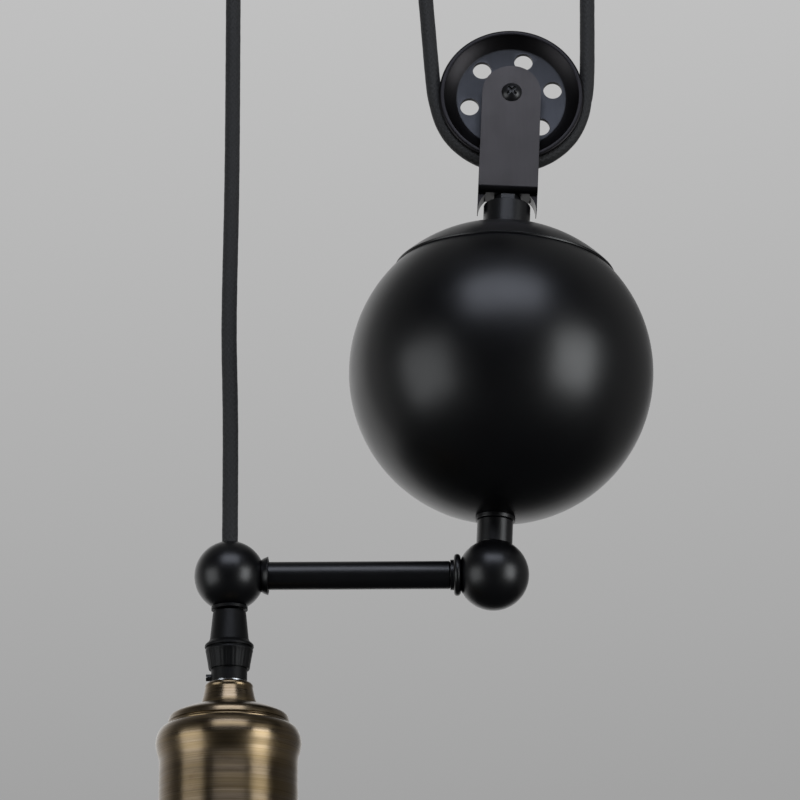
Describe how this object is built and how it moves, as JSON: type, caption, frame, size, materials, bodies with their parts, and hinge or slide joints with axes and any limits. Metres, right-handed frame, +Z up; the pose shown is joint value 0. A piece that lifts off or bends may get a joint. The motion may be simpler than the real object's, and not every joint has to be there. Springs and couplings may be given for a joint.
{
  "type": "rise and fall pendant",
  "caption": "Rise and fall pendant with a ceiling canopy, two grooved pulleys, a braided cord, a ball counterweight with a guide arm, and a bare brass lampholder.",
  "frame": {"origin": "middle of the canopy at the ceiling, on the top face of its fixing bar", "axes": "+Z up to the ceiling, +X from the lamp towards the counterweight's side, -Y to the front, where the screw heads of the two axles are"},
  "size_m": [0.1811, 0.156, 0.6456],
  "materials": {
    "black_paint": "satin",
    "dark_steel": "satin gunmetal",
    "black_screw": "satin",
    "zinc_steel": "bright zinc",
    "ballast_iron": "turned",
    "braided_cord": "braided",
    "wire_sleeve": "smooth",
    "black_plastic": "satin",
    "block_plastic": "matte",
    "aged_brass": "antique, brushed round",
    "bright_brass": "bright",
    "porcelain": "glazed"
  },
  "bodies": {
    "ceiling": {"ceiling_bar": "zinc_steel", "canopy": "black_paint", "canopy_screws": "black_paint", "terminal_block": "block_plastic", "terminal_screws": "zinc_steel", "top_stem": "zinc_steel", "ceiling_nuts": "black_screw", "stem_washer": "zinc_steel", "top_collar": "black_paint", "top_yoke": "dark_steel", "top_axle": "black_screw", "top_spacers": "zinc_steel", "anchor_cap": "black_plastic", "anchor_body": "black_plastic", "supply_cord": "braided_cord", "supply_cores": "wire_sleeve", "top_wrap": "braided_cord", "lamp_cord": "braided_cord", "left_leg": "braided_cord", "right_leg": "braided_cord"},
    "top_wheel": {"top_pulley": "dark_steel", "top_bush": "bright_brass"},
    "counterweight": {"bottom_wrap": "braided_cord", "weight_yoke": "dark_steel", "weight_axle": "black_screw", "weight_nuts": "black_screw", "weight_spacers": "zinc_steel", "weight_collar": "black_paint", "ball_lid": "black_paint", "ball_shell": "black_paint", "middle_disc": "ballast_iron", "end_discs": "ballast_iron", "disc_sleeves": "zinc_steel", "tie_rod": "zinc_steel", "seat_ring": "black_paint", "neck_collar": "black_paint", "elbow_ball": "black_paint", "arm_stud": "zinc_steel", "arm_tube": "black_paint", "elbow_washer": "black_paint", "guide_washer": "black_paint", "guide_ball": "black_paint", "guide_bush": "black_plastic"},
    "weight_wheel": {"weight_pulley": "dark_steel", "weight_bush": "bright_brass"},
    "lamp": {"grip_cap": "black_plastic", "grip_body": "black_plastic", "lock_screw": "black_paint", "lamp_cord_end": "braided_cord", "lamp_cores": "wire_sleeve", "nipple": "zinc_steel", "nipple_nut": "zinc_steel", "brass_neck": "aged_brass", "holder_cap": "aged_brass", "holder_shell": "aged_brass", "shade_ring": "aged_brass", "insulator": "porcelain", "lamp_terminals": "bright_brass", "screw_shell": "bright_brass"},
    "contact": {"centre_contact": "bright_brass"}
  },
  "joints": [
    {"name": "counterweight_lift", "type": "slide", "parent": "ceiling", "child": "counterweight", "axis": [0, 0, 1], "range_m": [0, 0.18], "deforming": ["left_leg", "right_leg"]},
    {"name": "lamp_drop", "type": "slide", "parent": "ceiling", "child": "lamp", "axis": [0, 0, 1], "range_m": [-0.36, 0], "deforming": ["lamp_cord"]},
    {"name": "top_pulley_spin", "type": "hinge", "parent": "ceiling", "child": "top_wheel", "pos_m": [-0.0562, 0, -0.076], "axis": [0, 1, 0], "range_deg": [-830, 0]},
    {"name": "weight_pulley_spin", "type": "hinge", "parent": "counterweight", "child": "weight_wheel", "pos_m": [0.0144, 0, -0.375], "axis": [0, 1, 0], "range_deg": [0, 415]},
    {"name": "contact_push", "type": "slide", "parent": "lamp", "child": "contact", "axis": [0, 0, 1], "range_m": [0, 0.0018], "stiffness_N_per_m": 200}
  ],
  "couplings": [
    {"joint": "lamp_drop", "follows": "counterweight_lift", "ratio": -2},
    {"joint": "top_pulley_spin", "follows": "counterweight_lift", "rad_per_m": -80.321},
    {"joint": "weight_pulley_spin", "follows": "counterweight_lift", "rad_per_m": 40.161}
  ]
}
